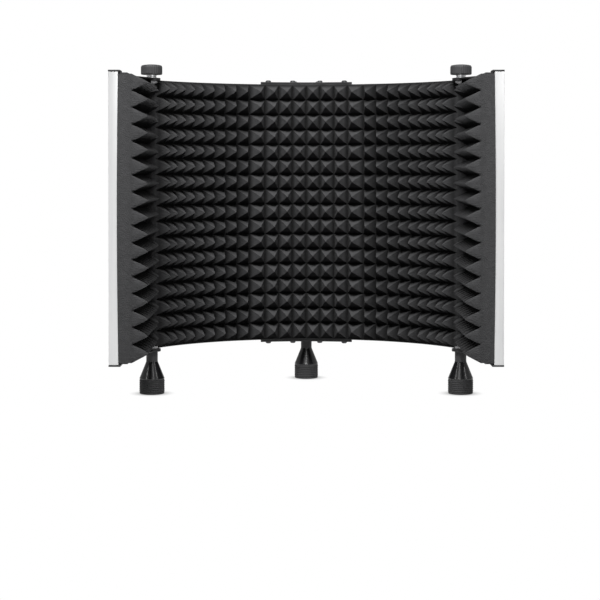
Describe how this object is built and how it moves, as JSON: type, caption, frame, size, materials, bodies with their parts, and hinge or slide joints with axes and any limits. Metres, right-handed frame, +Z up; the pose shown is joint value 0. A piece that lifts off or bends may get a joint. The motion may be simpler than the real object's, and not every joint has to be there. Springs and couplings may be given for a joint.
{
  "type": "microphone isolation shield",
  "caption": "Curved, foam-lined shield that folds round a studio microphone, with hinged wings, clamp knobs, screw feet and a rear stand socket.",
  "frame": {"origin": "on the floor, at the middle of the box that holds the shield", "axes": "+Z up, -Y towards the microphone and the open side, +X to the right as seen from the microphone side looking at the foam"},
  "size_m": [0.437, 0.331, 0.392],
  "materials": {
    "foam": "charcoal open-cell foam, cut in pyramids",
    "perforated_steel": "black powder coat, perforated",
    "coated_steel": "black powder coat",
    "edge_aluminium": "satin anodised",
    "cap_plastic": "moulded black",
    "knob_plastic": "moulded dark grey",
    "bright_zinc": "bright zinc plate",
    "black_hardware": "black oxide",
    "zinc_steel": "zinc-plated steel",
    "foot_plastic": "gloss black",
    "foot_rubber": "matt ribbed rubber"
  },
  "bodies": {
    "shield": {"back_panel": "perforated_steel", "top_rail": "coated_steel", "bottom_rail": "coated_steel", "rail_rivets": "black_hardware", "foam_centre": "foam", "foam_left": "foam", "foam_right": "foam", "top_plate": "coated_steel", "bottom_plate": "coated_steel", "plate_bolts": "black_hardware", "plate_nuts": "zinc_steel", "rear_spine": "coated_steel", "hinge_nuts": "zinc_steel"},
    "left_wing": {"left_wing_panel": "perforated_steel", "left_wing_top_rail": "coated_steel", "left_wing_bottom_rail": "coated_steel", "left_wing_rivets": "black_hardware", "left_wing_foam": "foam", "left_edge_strip": "edge_aluminium", "left_top_cap": "cap_plastic", "left_bottom_cap": "cap_plastic", "left_top_hinge_plate": "coated_steel", "left_bottom_hinge_plate": "coated_steel"},
    "right_wing": {"right_wing_panel": "perforated_steel", "right_wing_top_rail": "coated_steel", "right_wing_bottom_rail": "coated_steel", "right_wing_rivets": "black_hardware", "right_wing_foam": "foam", "right_edge_strip": "edge_aluminium", "right_top_cap": "cap_plastic", "right_bottom_cap": "cap_plastic", "right_top_hinge_plate": "coated_steel", "right_bottom_hinge_plate": "coated_steel"},
    "left_clamp_knob": {"left_knob": "knob_plastic", "left_knob_bolt": "zinc_steel", "left_knob_collar": "bright_zinc"},
    "right_clamp_knob": {"right_knob": "knob_plastic", "right_knob_bolt": "zinc_steel", "right_knob_collar": "bright_zinc"},
    "left_foot": {"left_foot_cone": "foot_plastic", "left_foot_stud": "zinc_steel", "left_foot_pad": "foot_rubber"},
    "right_foot": {"right_foot_cone": "foot_plastic", "right_foot_stud": "zinc_steel", "right_foot_pad": "foot_rubber"},
    "rear_foot": {"rear_foot_cone": "foot_plastic", "rear_foot_stud": "zinc_steel", "rear_foot_pad": "foot_rubber"},
    "stand_mount": {"stand_carriage": "coated_steel", "stand_thread_bush": "zinc_steel", "height_bolt": "zinc_steel", "height_washer": "bright_zinc"},
    "height_clamp": {"height_knob": "knob_plastic"}
  },
  "joints": [
    {"name": "left_wing_fold", "type": "hinge", "parent": "shield", "child": "left_wing", "pos_m": [-0.184, -0.02406, 0.2131], "axis": [0, 0, -1], "range_deg": [-72, 30]},
    {"name": "right_wing_fold", "type": "hinge", "parent": "shield", "child": "right_wing", "pos_m": [0.184, -0.02406, 0.2131], "axis": [0, 0, 1], "range_deg": [-72, 30]},
    {"name": "left_knob_turn", "type": "hinge", "parent": "shield", "child": "left_clamp_knob", "pos_m": [-0.184, -0.02406, 0.3851], "axis": [0, 0, 1], "range_deg": [0, 360]},
    {"name": "right_knob_turn", "type": "hinge", "parent": "shield", "child": "right_clamp_knob", "pos_m": [0.184, -0.02406, 0.3851], "axis": [0, 0, 1], "range_deg": [0, 360]},
    {"name": "left_foot_turn", "type": "hinge", "parent": "shield", "child": "left_foot", "pos_m": [-0.184, -0.02406, 0.025], "axis": [0, 0, -1], "range_deg": [0, 360]},
    {"name": "right_foot_turn", "type": "hinge", "parent": "shield", "child": "right_foot", "pos_m": [0.184, -0.02406, 0.025], "axis": [0, 0, -1], "range_deg": [0, 360]},
    {"name": "rear_foot_turn", "type": "hinge", "parent": "shield", "child": "rear_foot", "pos_m": [0, 0.12076, 0.025], "axis": [0, 0, -1], "range_deg": [0, 360]},
    {"name": "stand_height", "type": "slide", "parent": "shield", "child": "stand_mount", "axis": [0, 0, 1], "range_m": [-0.07, 0.07]},
    {"name": "height_knob_turn", "type": "hinge", "parent": "stand_mount", "child": "height_clamp", "pos_m": [0, 0.13376, 0.1891], "axis": [0, 1, 0], "range_deg": [0, 360]}
  ]
}
